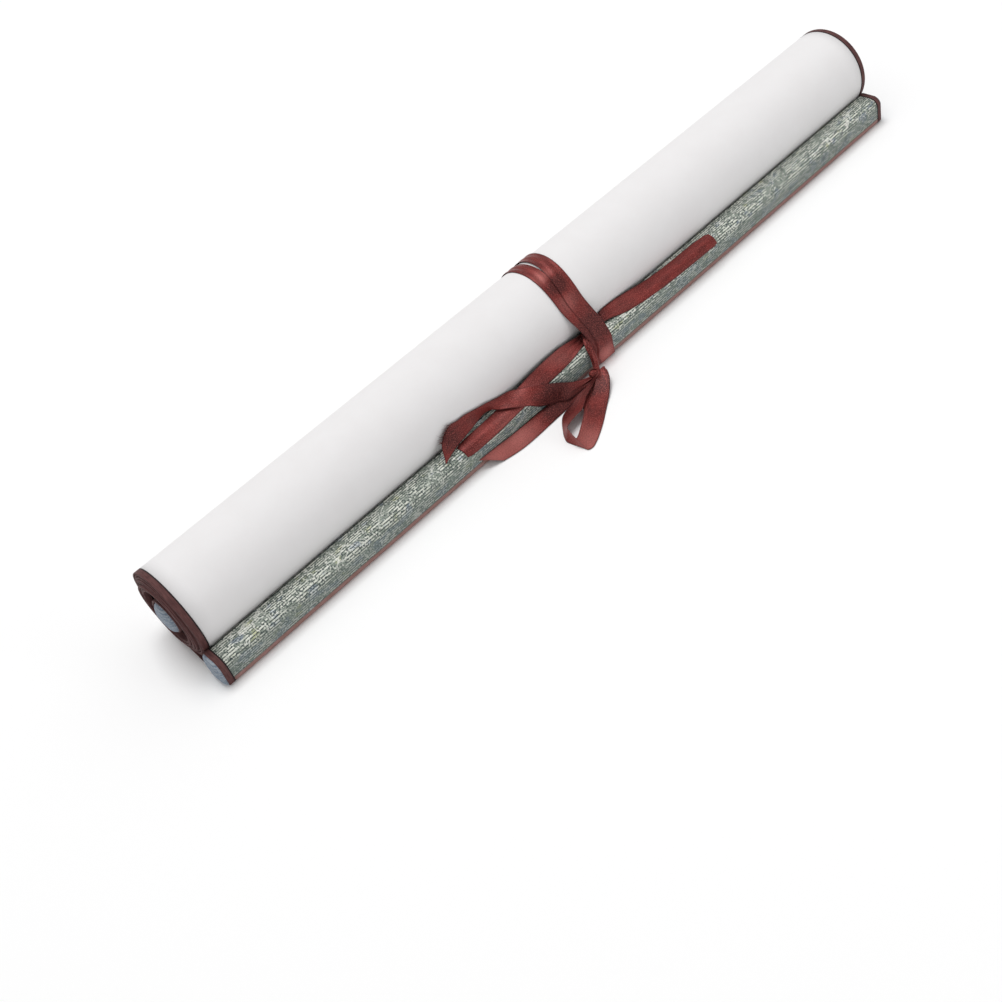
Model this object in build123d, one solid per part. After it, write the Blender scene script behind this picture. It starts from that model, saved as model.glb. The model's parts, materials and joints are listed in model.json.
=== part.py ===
from build123d import *
from math import acos, atan2, cos, degrees, hypot, pi, radians, sin, sqrt
import os

# A blank hanging scroll, rolled up and tied with a ribbon, lying on a flat surface.
# X runs along the roll, +Z is up and -Y is the side of the top batten.
# The origin is below the roll's axis, halfway along, on the surface. All sizes are in millimetres.

# Mounted sheet: paper on the back, brocade on the front, pasted together
sheet_width = 500.0
sheet_thickness = 0.7
roll_radius = 25.2
turn_pitch = 1.24
turn_count = 8

# Brown strips that bind the sheet: both side edges, and the head along the batten's lower front
edge_binding_width = 3.6
head_binding_height = 4.0
head_binding_fold = 5.0
head_binding_thickness = 0.15

# Top batten, a wooden bar inside the wrap of the sheet
batten_depth = 12.2
batten_height = 14.1
batten_front_radius = 4.3
batten_rear_radius = 1.3
batten_foot_radius = 0.9
batten_to_roll = 0.2
wrap_clearance = 0.05

# Bottom rod in the core of the roll
rod_radius = 8.3
rod_wrap_end_angle = -25.0

# Brocade covers over the wooden ends
batten_cover_thickness = 3.0
rod_cover_thickness = 4.0
cover_inset = 0.3
cover_edge_radius = 1.2

# Satin ribbon
ribbon_width = 10.0
ribbon_thickness = 0.3
ribbon_clearance = 0.1

# Hanging ribbon, whose ends go into slits in the wrap of the batten
left_slit_x = -92.0
right_slit_x = 100.0
slit_length = 1.8
slit_spare_width = 1.2
ribbon_on_top = 4.0
lean_height = 3.0
lean_reach = 6.0

# Tie ribbon: two turns round roll and batten, knot, loop and tails
turn_width = 7.2
first_turn_x = 1.6
first_turn_drift = -6.0
second_turn_x = 9.6
second_turn_drift = 1.0
relief_clearance = 0.05
knot_x = -2.0
knot_length = 9.5
knot_radius = 3.0
knot_collar_width = 4.0
knot_collar_rise = 0.5
loop_reach = 46.0
rear_tail_reach = 98.0
front_tail_reach = 82.0

# Worked out from the sizes above
half_width = sheet_width / 2
half_thickness = sheet_thickness / 2
first_radius = roll_radius - half_thickness
batten_top = batten_height + 2 * (sheet_thickness + wrap_clearance)
corner_radius = batten_front_radius + sheet_thickness + wrap_clearance
rear_corner_radius = batten_rear_radius + sheet_thickness + wrap_clearance
foot_radius = batten_foot_radius + sheet_thickness + wrap_clearance

# The roll's outer outline: a half circle on the -Y side and a larger one on the +Y side
front_half_radius = first_radius - turn_pitch / 2 + half_thickness
front_half_centre = half_thickness + 2 * first_radius - (first_radius - turn_pitch / 2)
rear_half_radius = first_radius + half_thickness
rear_half_centre = half_thickness + first_radius
roll_top = rear_half_centre + rear_half_radius

# The batten's wrap stands against the roll at its rear top corner
corner_rise = front_half_centre - (batten_top - rear_corner_radius)
corner_reach = front_half_radius + rear_corner_radius + batten_to_roll
batten_rear = -(sqrt(corner_reach**2 - corner_rise**2) - rear_corner_radius)
batten_front = batten_rear - batten_depth - 2 * (sheet_thickness + wrap_clearance)
batten_middle = (batten_rear + batten_front) / 2

# Along the batten's top, from its front corner to where the roll stands above it
junction_y = -sqrt(front_half_radius**2 - (batten_top - front_half_centre) ** 2)
top_run = junction_y - batten_front - corner_radius


def rounded_route(points, radii):
    """Straight runs and tangent arcs through points, as pieces that offset_edge understands."""
    pieces = []
    start = Vector(*points[0])
    for before, corner, after, radius in zip(points, points[1:], points[2:], radii):
        corner, before, after = Vector(*corner), Vector(*before), Vector(*after)
        inward = (corner - before).normalized()
        outward = (after - corner).normalized()
        turn = degrees(atan2(inward.X * outward.Y - inward.Y * outward.X, inward.dot(outward)))
        setback = radius * abs(sin(radians(turn) / 2) / cos(radians(turn) / 2))
        entry = corner - inward * setback
        side = 1 if turn > 0 else -1
        centre = entry + Vector(-inward.Y, inward.X) * side * radius
        spoke = entry - centre
        pieces.append(("line", start, entry))
        pieces.append(("arc", centre, radius, degrees(atan2(spoke.Y, spoke.X)), turn))
        start = corner + outward * setback
    pieces.append(("line", start, Vector(*points[-1])))
    return pieces


def offset_edge(piece, distance):
    """The edge of one piece, moved to its left by distance."""
    if piece[0] == "line":
        start, end = piece[1], piece[2]
        run = (end - start).normalized()
        shift = Vector(-run.Y, run.X) * distance
        return Line(start + shift, end + shift)
    centre, radius, start_angle, sweep = piece[1:]
    side = 1 if sweep > 0 else -1
    return CenterArc(centre, radius - side * distance, start_angle, sweep)


def band_face(pieces, low, high):
    """A strip along the pieces, from low to high on their left side, in the Y-Z plane."""
    left = [offset_edge(piece, high) for piece in pieces]
    right = [offset_edge(piece, low) for piece in pieces]
    first_end = Line(left[0] @ 0, right[0] @ 0)
    last_end = Line(left[-1] @ 1, right[-1] @ 1)
    return Plane.YZ * Face(Wire([first_end, *left, last_end, *right]))


def along_roll(face, start, end):
    """A face in the Y-Z plane carried from start to end along X."""
    return extrude(Pos(start, 0, 0) * face, amount=end - start, dir=(1, 0, 0))


def batten_route():
    """The sheet's middle line: from under the batten, round it and along the floor to the roll."""
    near, far = batten_front + half_thickness, batten_rear - half_thickness
    low, high = half_thickness, batten_top - half_thickness
    foot = foot_radius - half_thickness
    start = max(near + foot + head_binding_fold, near + foot + 1.0)
    start = min(start, far - foot - sheet_thickness)
    points = [(start, low), (near, low), (near, high), (far, high), (far, low), (0, low)]
    radii = [foot, corner_radius - half_thickness, rear_corner_radius - half_thickness, foot]
    return rounded_route(points, radii)


def roll_route():
    """Half circles that shrink by half a pitch each, then the turn that grips the rod."""
    pieces = []
    bottom = half_thickness
    for index in range(turn_count):
        radius = first_radius - index * turn_pitch
        top = bottom + 2 * radius
        pieces.append(("arc", Vector(0, bottom + radius), radius, -90, 180))
        radius -= turn_pitch / 2
        bottom = top - 2 * radius
        pieces.append(("arc", Vector(0, top - radius), radius, 90, 180))
    grip = rod_radius + wrap_clearance + half_thickness
    bridge = (rod_height + grip - bottom) / 2
    pieces.append(("arc", Vector(0, bottom + bridge), bridge, -90, 180))
    pieces.append(("arc", Vector(0, rod_height), grip, 90, 180))
    pieces.append(("arc", Vector(0, rod_height), grip, -90, rod_wrap_end_angle + 90))
    return pieces


def batten_outline(inset):
    """The wrapped batten's section, made smaller all round by inset."""
    low, high = inset, batten_top - inset
    near, far = batten_front + inset, batten_rear - inset
    points = [(near, low), (near, high), (far, high), (far, low)]
    outline = Polyline(*points, close=True)
    face = make_face(outline)
    radii = {0: foot_radius, 1: corner_radius, 2: rear_corner_radius, 3: foot_radius}
    for index, radius in radii.items():
        corner = Vector(*points[index])
        nearest = min(face.vertices(), key=lambda v: (Vector(v.X, v.Y) - corner).length)
        face = fillet(nearest, radius - inset)
    return Plane.YZ * face


def on_batten(distance, lift):
    """Point on the wrap, as (y, z). Distance runs from the top's front end down the front."""
    centre_y, centre_z = batten_front + corner_radius, batten_top - corner_radius
    radius = corner_radius + lift
    quarter = corner_radius * pi / 2
    if distance < 0:
        return centre_y - distance, batten_top + lift
    if distance < quarter:
        angle = pi / 2 + distance / corner_radius
        return centre_y + radius * cos(angle), centre_z + radius * sin(angle)
    return batten_front - lift, centre_z - (distance - quarter)


def on_profile(distance, lift):
    """The same as on_batten, but where the top has ended the point goes up the roll's -Y side."""
    beyond = -distance - top_run
    if beyond <= 0:
        return on_batten(distance, lift)
    height = batten_top + beyond
    radius = front_half_radius + lift
    return -sqrt(radius**2 - (height - front_half_centre) ** 2), height


def strip(first_edge, second_edge, count, thickness=ribbon_thickness):
    """A ribbon between two edges, each a smooth curve through its points."""
    first, second = Spline(*first_edge), Spline(*second_edge)
    sections = []
    for index in range(count + 1):
        share = index / count
        a, b = first @ share, second @ share
        along = (first % share + second % share).normalized()
        half = (b - a).cross(along).normalized() * thickness / 2
        sections.append(Face(Wire(Polyline(a + half, b + half, b - half, a - half, close=True).edges())))
    return loft(sections, ruled=True)


def way_down(upper, lift):
    """How a ribbon falls from its upper edge: over the batten's corner, down its front, to the floor."""
    corner = Vector(batten_front + corner_radius, batten_top - corner_radius)
    reach = (corner_radius + lift) * 1.01
    points = [upper]
    if upper.Y > corner.Y:
        gap = upper - corner
        bearing = degrees(atan2(gap.Y, gap.X))
        contact = max(bearing + degrees(acos(min(reach / gap.length, 1))), 90)
        for index in range(7):
            angle = radians(contact + (180 - contact) * index / 6)
            points.append(corner + Vector(cos(angle), sin(angle)) * reach)
    front = batten_front - lift
    if upper.Y > lean_height:
        points.append(Vector(front, lean_height))
    points.append(Vector(front - lean_reach, lift))
    points.append(Vector(front - lean_reach - 3 * ribbon_width, lift))
    return Polyline(*points)


def laid_section(x, upper, spread, lift):
    """A ribbon's section in the plane x, spread wide from its upper edge down."""
    way = way_down(upper, lift)
    steps = 7
    outer, inner = [], []
    for index in range(steps + 1):
        share = spread * index / steps / way.length
        run = way % share
        shift = Vector(run.Y, -run.X) * ribbon_thickness / 2
        outer.append(way @ share + shift)
        inner.append(way @ share - shift)
    return Pos(x, 0, 0) * (Plane.YZ * make_face(Polyline(*outer, *reversed(inner), close=True)))


def laid_ribbon(stations, steps):
    """A ribbon laid over the batten. Stations are (x, upper edge on the profile, lift there, width
    in the plane x, lift below), and each stretch between two is made in steps."""
    filled = [stations[0]]
    for first, second in zip(stations, stations[1:]):
        for step in range(1, steps + 1):
            filled.append([a + (b - a) * step / steps for a, b in zip(first, second)])
    sections = []
    for x, distance, upper_lift, spread, lift in filled:
        sections.append(laid_section(x, Vector(*on_profile(distance, upper_lift)), spread, lift))
    return loft(sections, ruled=True)


def make_slit(x):
    """The cutter for a slit through the wrap, across the batten's top front corner."""
    depth = sheet_thickness + wrap_clearance
    steps = 9
    low = -ribbon_on_top - slit_spare_width / 2
    high = ribbon_width - ribbon_on_top + slit_spare_width / 2
    run = [low + (high - low) * index / steps for index in range(steps + 1)]
    outer = [on_batten(value, 2 * ribbon_thickness) for value in run]
    inner = [on_batten(value, -depth) for value in reversed(run)]
    face = Plane.YZ * make_face(Polyline(*outer, *inner, close=True))
    return along_roll(face, x - slit_length / 2, x + slit_length / 2)


def tie_outline(lift, floor_height):
    """A taut outline round roll and batten, lift away from them and cut off at floor_height."""
    corner = Vector(batten_front + corner_radius, batten_top - corner_radius)
    hub = Vector(0, front_half_centre)
    gap = corner - hub
    front_lift = lift + ribbon_clearance + ribbon_thickness
    roll_reach, corner_reach = front_half_radius + lift, corner_radius + front_lift
    swing = acos((roll_reach - corner_reach) / gap.length)
    normal_angle = degrees(atan2(gap.Y, gap.X) - swing) % 360
    normal = Vector(cos(radians(normal_angle)), sin(radians(normal_angle)))
    front = batten_front - front_lift
    lowest = rear_half_centre - rear_half_radius - lift
    foot = Vector(batten_front + foot_radius, foot_radius)
    foot_reach = foot.Y - lowest
    edges = [
        Line((0, lowest), (foot.X, lowest)),
        CenterArc(foot, foot_reach, 270, -90),
        Line((foot.X - foot_reach, foot.Y), (front, corner.Y)),
        CenterArc(corner, corner_reach, 180, normal_angle - 180),
        Line(corner + normal * corner_reach, hub + normal * roll_reach),
        CenterArc(hub, roll_reach, normal_angle, 90 - normal_angle),
        CenterArc((0, rear_half_centre), rear_half_radius + lift, 90, -180),
    ]
    face = make_face(edges)
    span = 4 * roll_radius
    keep = Pos(0, floor_height + span / 2) * Rectangle(2 * span, span)
    return Plane.YZ * (face & keep)


def tie_turn(x, drift, width):
    """One turn of the tie ribbon: a ring round roll and batten, kept between two slanting planes."""
    room = width + abs(drift) + ribbon_width
    inner_lift = ribbon_clearance
    outer = tie_outline(inner_lift + ribbon_thickness, 0)
    inner = tie_outline(inner_lift, ribbon_thickness)
    ring = along_roll(outer, x - room, x + room) - along_roll(inner, x - room, x + room)
    depth = rear_half_radius - batten_front
    height = 3 * roll_radius
    slant = degrees(atan2(drift, depth))
    slab = Box(width * cos(radians(slant)), 2 * depth, height)
    return ring & (Pos(x, batten_middle, height / 4) * Rot(0, 0, -slant) * slab)


def make_hanging_ribbon():
    """Lies on the batten's top front corner at its ends and leans on the roll between them."""
    rest = ribbon_clearance + ribbon_thickness / 2
    sunk = -(sheet_thickness - ribbon_thickness) / 2
    left, right = left_slit_x, right_slit_x
    span = right - left
    inset = slit_length - ribbon_clearance
    rises = [(0.31, 3.6), (0.37, 5.2), (0.44, 4.4), (0.50, 2.0), (0.57, 4.4), (0.64, 4.2), (0.71, 2.2)]
    edge = [
        (left + ribbon_clearance, -ribbon_on_top, sunk),
        (left + inset, -ribbon_on_top, rest),
        (left + 0.15 * span, -4.6, rest),
        (left + 0.24 * span, -6.0, rest),
    ]
    edge += [(left + share * span, -top_run - rise, rest) for share, rise in rises]
    edge += [
        (left + 0.77 * span, -6.0, rest),
        (left + 0.87 * span, -4.6, rest),
        (right - inset, -ribbon_on_top, rest),
        (right - ribbon_clearance, -ribbon_on_top, sunk),
    ]
    return laid_ribbon([(x, distance, lift, ribbon_width, lift) for x, distance, lift in edge], 1)


def make_knot(centre):
    """A tight knot: a full rounded lump with one turn of ribbon drawn round it."""
    half = knot_length / 2
    angles = [pi * step / 8 for step in range(9)]
    outline = Polyline([(half * cos(angle), knot_radius * sin(angle)) for angle in angles], close=True)
    lump = revolve(make_face(outline), Axis.X)
    collar_radius = knot_radius + knot_collar_rise
    collar_face = Pos(0, collar_radius / 2) * Rectangle(knot_collar_width, collar_radius)
    outer_corners = collar_face.vertices().sort_by(Axis.Y)[-2:]
    collar = revolve(chamfer(outer_corners, knot_collar_rise), Axis.X)
    return Pos(*centre) * (lump + collar)


def make_tie_ribbon():
    """Two turns, the gathered strand down to the knot, one loop and two tails, in one piece."""
    rest = ribbon_clearance + ribbon_thickness / 2
    above = rest + ribbon_thickness + 3 * ribbon_clearance
    floor = ribbon_thickness / 2
    half = ribbon_width / 2
    knot_height = knot_radius + knot_collar_rise
    knot_y = batten_front - knot_height - ribbon_clearance
    knot = Vector(knot_x, knot_y, knot_height)

    turns = tie_turn(first_turn_x, first_turn_drift, turn_width)
    turns += tie_turn(second_turn_x, second_turn_drift, turn_width)

    over = above + ribbon_thickness
    front = batten_front - over
    strand = strip(
        [(first_turn_x - 1.0, *on_batten(2.5, over)), (first_turn_x - 2.6, *on_batten(6.0, over)),
         (first_turn_x - 4.6, front, 0.6 * batten_top), (knot.X - 1.5, knot.Y, knot.Z)],
        [(first_turn_x + 3.0, *on_batten(2.5, over)), (first_turn_x + 0.6, *on_batten(6.0, over)),
         (first_turn_x - 1.4, front, 0.6 * batten_top), (knot.X + 1.5, knot.Y, knot.Z)],
        10, 2 * ribbon_thickness)

    far = loop_reach
    loop = strip(
        [(knot.X + 2.0, knot.Y - 1.0, knot.Z), (-0.12 * far, knot.Y - 1.9 * half, 1.1 * half),
         (-0.50 * far, knot.Y - 4.6 * half, 1.2 * half), (-0.86 * far, knot.Y - 6.6 * half, 0.7 * half),
         (-1.04 * far, knot.Y - 6.9 * half, floor + 0.2 * half), (-1.07 * far, knot.Y - 5.4 * half, floor),
         (-0.95 * far, knot.Y - 3.6 * half, floor), (-0.62 * far, knot.Y - 1.7 * half, floor + 0.1 * half),
         (knot.X - 3.0, knot.Y - 1.0, floor + 0.3 * half)],
        [(knot.X - 2.0, knot.Y + 0.5, knot.Z), (-0.26 * far, knot.Y - 0.5 * half, 1.0 * half),
         (-0.60 * far, knot.Y - 2.5 * half, 1.1 * half), (-0.92 * far, knot.Y - 4.4 * half, 0.8 * half),
         (-1.12 * far, knot.Y - 5.3 * half, 0.5 * half), (-1.13 * far, knot.Y - 4.2 * half, 0.3 * half),
         (-0.98 * far, knot.Y - 2.4 * half, 0.6 * half), (-0.66 * far, knot.Y - 0.7 * half, 0.8 * half),
         (knot.X - 3.0, knot.Y + 1.0, knot.Z)],
        18)

    foot_distance = corner_radius * pi / 2 + batten_top - corner_radius
    beside_knot = foot_distance - knot_height
    wide = ribbon_width
    reach = rear_tail_reach
    rear_tail = laid_ribbon([
        (-1.05 * reach, 0.0, above + 0.3, 0.25 * wide, above),
        (-0.98 * reach, -top_run - 5.0, above, 0.9 * wide, above),
        (-0.90 * reach, -top_run - 8.6, above, wide, above),
        (-0.81 * reach, -top_run - 8.0, above, wide, above),
        (-0.66 * reach, -top_run - 6.6, above, wide, above),
        (-0.57 * reach, -top_run - 5.2, above, 1.1 * wide, above),
        (-0.53 * reach, -6.0, above + 2.6, 1.2 * wide, above),
        (-0.49 * reach, -4.6, above + 2.8, 1.25 * wide, above),
        (-0.43 * reach, -2.0, above + 2.2, 1.4 * wide, above),
        (-0.37 * reach, 2.6, above + 0.4, 1.4 * wide, above),
        (-0.30 * reach, 6.0, above, 1.4 * wide, above),
        (-0.24 * reach, 10.5, above, 1.3 * wide, above),
        (-0.16 * reach, beside_knot, above, 1.0 * wide, above),
        (knot.X - 2.0, beside_knot, above, 0.5 * wide, above),
    ], 2)

    reach = front_tail_reach
    front_tail = laid_ribbon([
        (-1.05 * reach, foot_distance - 5.0, rest, 0.3 * wide, rest),
        (-0.98 * reach, foot_distance - 5.6, rest, 0.8 * wide, rest),
        (-0.80 * reach, foot_distance - 4.6, rest, wide, rest),
        (-0.48 * reach, foot_distance - 4.0, rest, wide, rest),
        (-0.24 * reach, foot_distance - 2.6, rest, wide, rest),
        (knot.X - 2.0, beside_knot, rest, 0.5 * wide, rest),
    ], 1)

    return turns + strand + make_knot(knot) + loop + rear_tail + front_tail


rod_height = rear_half_centre

# The sheet, and the edge bindings that carry its section on to both ends
route = batten_route() + roll_route()
sheet_face = band_face(route, -half_thickness, half_thickness)
inner_end = half_width - edge_binding_width
sheet = along_roll(sheet_face, -inner_end, inner_end)
left_binding = along_roll(sheet_face, -half_width, -inner_end)
right_binding = along_roll(sheet_face, inner_end, half_width)

# Head binding, from under the batten up its front
near_line = batten_front + half_thickness
start_line, foot_arc, front_line = route[0], route[1], route[2]
strip_end = Vector(near_line, head_binding_height)
head_route = [start_line, foot_arc, ("line", front_line[1], strip_end)]
head_face = band_face(head_route, half_thickness - head_binding_thickness, half_thickness)
head_binding = along_roll(head_face, -inner_end, inner_end)
sheet -= head_binding

# The tie ribbon passes under the sheet in a shallow relief
relief_low = min(first_turn_x - abs(first_turn_drift), second_turn_x) - turn_width
relief_high = max(first_turn_x + abs(first_turn_drift), second_turn_x) + turn_width
relief_depth = ribbon_thickness + relief_clearance
relief_length = relief_high - relief_low
relief = Pos((relief_low + relief_high) / 2, 0, 0) * Box(relief_length, 4 * roll_radius, 2 * relief_depth)
left_slit = make_slit(left_slit_x + slit_length / 2)
right_slit = make_slit(right_slit_x - slit_length / 2)
sheet = sheet - relief - left_slit - right_slit
head_binding -= relief

batten_face = batten_outline(sheet_thickness + wrap_clearance)
top_batten = along_roll(batten_face, -half_width, half_width)
rod = Pos(0, 0, rod_height) * Rot(0, 90, 0) * Cylinder(rod_radius, sheet_width)

cover_face = batten_outline(cover_inset)
rod_cover_radius = rod_radius + sheet_thickness - cover_inset


def batten_cover(side):
    """Brocade drawn over one end of the batten, with a soft edge."""
    end = side * (half_width + batten_cover_thickness)
    cover = along_roll(cover_face, min(side * half_width, end), max(side * half_width, end))
    rim = cover.faces().sort_by(Axis.X)[-1 if side > 0 else 0].edges()
    return fillet(rim, cover_edge_radius)


def rod_cover(side):
    """Brocade drawn over one end of the rod, with a soft edge."""
    middle = side * (half_width + rod_cover_thickness / 2)
    cover = Pos(middle, 0, rod_height) * Rot(0, 90, 0) * Cylinder(rod_cover_radius, rod_cover_thickness)
    rim = cover.faces().sort_by(Axis.X)[-1 if side > 0 else 0].edges()
    return fillet(rim, cover_edge_radius)


parts = {
    "scroll_sheet": sheet,
    "edge_bindings": Compound([left_binding, right_binding]),
    "head_binding": head_binding,
    "top_batten": top_batten,
    "batten_end_covers": Compound([batten_cover(side) for side in (-1, 1)]),
    "bottom_rod": rod,
    "rod_end_covers": Compound([rod_cover(side) for side in (-1, 1)]),
    "hanging_ribbon": make_hanging_ribbon(),
    "tie_ribbon": make_tie_ribbon(),
}

os.makedirs("parts", exist_ok=True)
for name, shape in parts.items():
    export_step(shape, f"parts/{name}.step")
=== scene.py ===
import json
import math

import bpy
import numpy as np
from mathutils import Matrix, Vector

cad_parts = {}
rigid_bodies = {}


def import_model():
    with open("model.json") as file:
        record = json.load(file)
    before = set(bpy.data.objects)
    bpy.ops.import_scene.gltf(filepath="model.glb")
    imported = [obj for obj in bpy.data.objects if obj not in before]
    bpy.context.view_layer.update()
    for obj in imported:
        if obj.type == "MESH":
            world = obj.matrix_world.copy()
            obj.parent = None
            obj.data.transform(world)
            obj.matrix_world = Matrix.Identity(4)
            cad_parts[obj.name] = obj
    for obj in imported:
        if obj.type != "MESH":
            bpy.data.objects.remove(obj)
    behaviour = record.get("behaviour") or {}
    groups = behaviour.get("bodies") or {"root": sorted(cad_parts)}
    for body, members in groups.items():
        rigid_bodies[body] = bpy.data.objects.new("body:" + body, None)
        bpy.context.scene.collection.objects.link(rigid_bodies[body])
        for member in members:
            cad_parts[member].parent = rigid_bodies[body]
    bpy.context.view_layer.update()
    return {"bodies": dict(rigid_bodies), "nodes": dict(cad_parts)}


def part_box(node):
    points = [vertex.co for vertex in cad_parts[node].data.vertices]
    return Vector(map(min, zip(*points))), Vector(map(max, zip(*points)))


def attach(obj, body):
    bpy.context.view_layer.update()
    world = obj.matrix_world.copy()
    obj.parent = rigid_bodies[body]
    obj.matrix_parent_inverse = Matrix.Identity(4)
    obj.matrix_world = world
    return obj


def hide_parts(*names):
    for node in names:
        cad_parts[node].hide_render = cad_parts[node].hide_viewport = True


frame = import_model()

# A blank hanging scroll, rolled up and tied with a satin ribbon. X runs along the roll, -Y is the side
# of the wrapped batten and the floor is at z = 0. Lengths are metres; names ending in _mm are millimetres.

MM = 0.001
BODY = next(iter(frame["bodies"]))

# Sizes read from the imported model
binding_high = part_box("edge_bindings")[1]
batten_low, batten_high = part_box("top_batten")
rod_low, rod_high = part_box("bottom_rod")
batten_cover_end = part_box("batten_end_covers")[1].x
rod_cover_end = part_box("rod_end_covers")[1].x
HALF_WIDTH = binding_high.x
ROLL_RADIUS = binding_high.y
ROD_RADIUS = (rod_high.z - rod_low.z) / 2
WRAP = batten_low.z
BATTEN_FRONT = batten_low.y - WRAP
BATTEN_REAR = batten_high.y + WRAP
BATTEN_TOP = batten_high.z + WRAP

# Sizes of the sheet and its trims. PITCH is from one turn to the next; the two corners and the foot are
# radii of the wrap round the batten; HEAD_RETURN is how far the head binding runs back under the batten.
SHEET = 0.7 * MM
CLEARANCE = 0.05 * MM
PITCH = 1.24 * MM
TURNS = 8
CORNER = 5.05 * MM
REAR_CORNER = 2.05 * MM
FOOT = 1.65 * MM
BINDING_WIDTH = 3.6 * MM
BINDING_PROUD = 0.07 * MM
HEAD_HEIGHT = 4.0 * MM
HEAD_RETURN = 7.0 * MM

# How far the roll stands to the right of the batten, and how far its core has crept back to the left
DRIFT = 0.9 * MM
CREEP = 2.2 * MM

# The ribbon, and the low arch of the sheet where the ribbon passes under it: the arch's middle along X,
# its reach to each side, the length of its slopes and its height
RIBBON_WIDTH = 10.0 * MM
RIBBON = 0.26 * MM
ARCH_MIDDLE = 4.5 * MM
ARCH_REACH = 18.0 * MM
ARCH_SLOPE = 6.0 * MM
ARCH_HEIGHT = 0.36 * MM

# The roll's outer outline, a half circle on each side of the plane y = 0
FIRST_RADIUS = ROLL_RADIUS - SHEET / 2
FRONT_RADIUS = FIRST_RADIUS - PITCH / 2 + SHEET / 2
FRONT_HUB = SHEET / 2 + 2 * FIRST_RADIUS - (FIRST_RADIUS - PITCH / 2)
REAR_HUB = SHEET / 2 + FIRST_RADIUS
CORNER_Y = BATTEN_FRONT + CORNER
CORNER_Z = BATTEN_TOP - CORNER


def smooth(at, knots, values):
    """Smooth curve through values at the knots: on each stretch the cubic whose slopes at its two ends
    are those of the chords between the neighbouring knots."""
    knots, values = np.asarray(knots, float), np.asarray(values, float)
    slopes = np.gradient(values, knots, axis=0)
    at = np.clip(at, knots[0], knots[-1])
    i = np.clip(np.searchsorted(knots, at) - 1, 0, len(knots) - 2)
    gap = knots[i + 1] - knots[i]
    t = (at - knots[i]) / gap
    if values.ndim > 1:
        gap, t = gap[..., None], t[..., None]
    rise = values[i] * (2 * t**3 - 3 * t**2 + 1) + values[i + 1] * (3 * t**2 - 2 * t**3)
    return rise + gap * (slopes[i] * (t**3 - 2 * t**2 + t) + slopes[i + 1] * (t**3 - t**2))


def metres(millimetres):
    """An array of lengths given in millimetres, in metres."""
    return np.asarray(millimetres, float) * MM


def round_circle(count):
    """The angles of points evenly round a circle."""
    return np.linspace(0, 2 * math.pi, count, endpoint=False)


def eased(t):
    """0 below 0, 1 above 1, and three squares less two cubes of t between them."""
    t = np.clip(t, 0, 1)
    return t * t * (3 - 2 * t)


def ripple(at, *waves):
    """A sum of sines of the coordinate, one for each (height, wavelength, phase)."""
    return sum(height * np.sin(2 * math.pi * at / length + phase) for height, length, phase in waves)


def unit(vectors):
    """Each vector divided by its length."""
    return vectors / np.maximum(np.linalg.norm(vectors, axis=-1, keepdims=True), 1e-12)


def together(*coordinates):
    """Coordinates brought to one shape and put together as points."""
    return np.stack(np.broadcast_arrays(*coordinates), -1)


def along_x(x, section):
    """Points from their places along X and their places (y, z) in a section."""
    return np.concatenate([x[..., None], section], -1)


def facing_out(points, faces):
    """The quads of one closed shape, turned over if they face inward. The volume under them, taken with
    its sign as pyramids from the first point, is then below zero."""
    a, b, c, d = (np.asarray(points)[faces[:, i]] - points[0] for i in range(4))
    volume = np.sum(a * (np.cross(b, c) + np.cross(c, d)))
    return faces[:, ::-1] if volume < 0 else faces


def joined(*shapes):
    """Several closed shapes, each (points, faces, texture coordinates), as one that faces outward."""
    start, points, faces, uv = 0, [], [], []
    for grid, quads, texture in shapes:
        points.append(grid.reshape(-1, 3))
        faces.append(facing_out(points[-1], quads) + start)
        uv.append(texture.reshape(-1, 2))
        start += len(points[-1])
    return np.concatenate(points), np.concatenate(faces), np.concatenate(uv)


def make_piece(name, shape, material, node):
    """A mesh from a shape, riding on the body in place of one of the solids."""
    points, faces, uv = joined(shape)
    order = faces.astype(np.int32).ravel()
    mesh = bpy.data.meshes.new(name)
    mesh.vertices.add(len(points))
    mesh.vertices.foreach_set("co", points.astype(np.float32).ravel())
    mesh.loops.add(faces.size)
    mesh.loops.foreach_set("vertex_index", order)
    mesh.polygons.add(len(faces))
    mesh.polygons.foreach_set("loop_start", np.arange(0, faces.size, faces.shape[1], dtype=np.int32))
    mesh.polygons.foreach_set("use_smooth", np.ones(len(faces), bool))
    layer = mesh.uv_layers.new(name="cloth")
    layer.data.foreach_set("uv", uv.astype(np.float32)[order].ravel())
    mesh.update(calc_edges=True)
    mesh.validate()
    mesh.materials.append(material)
    piece = bpy.data.objects.new(name, mesh)
    bpy.context.scene.collection.objects.link(piece)
    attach(piece, BODY)
    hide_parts(node)
    return piece


def ring_faces(rings, count, closed=False):
    """Quads round a tube stored ring by ring. A closed tube's last ring meets its first. Otherwise both end
    rings, of an even count of points, are filled with quads in strips from one side to the other. A cap
    runs along each rim the opposite way to the wall, so that both face the same side."""
    i, j = np.meshgrid(np.arange(rings if closed else rings - 1), np.arange(count), indexing="ij")
    here, after, beside = i * count, (i + 1) % rings * count, (j + 1) % count
    wall = np.stack([here + j, here + beside, after + beside, after + j], -1).reshape(-1, 4)
    if closed:
        return wall
    near = np.arange(count // 2 - 1)
    cap = np.stack([near, count - 1 - near, count - 2 - near, near + 1], -1)
    return np.concatenate([wall, cap, cap[:, ::-1] + (rings - 1) * count])


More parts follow.
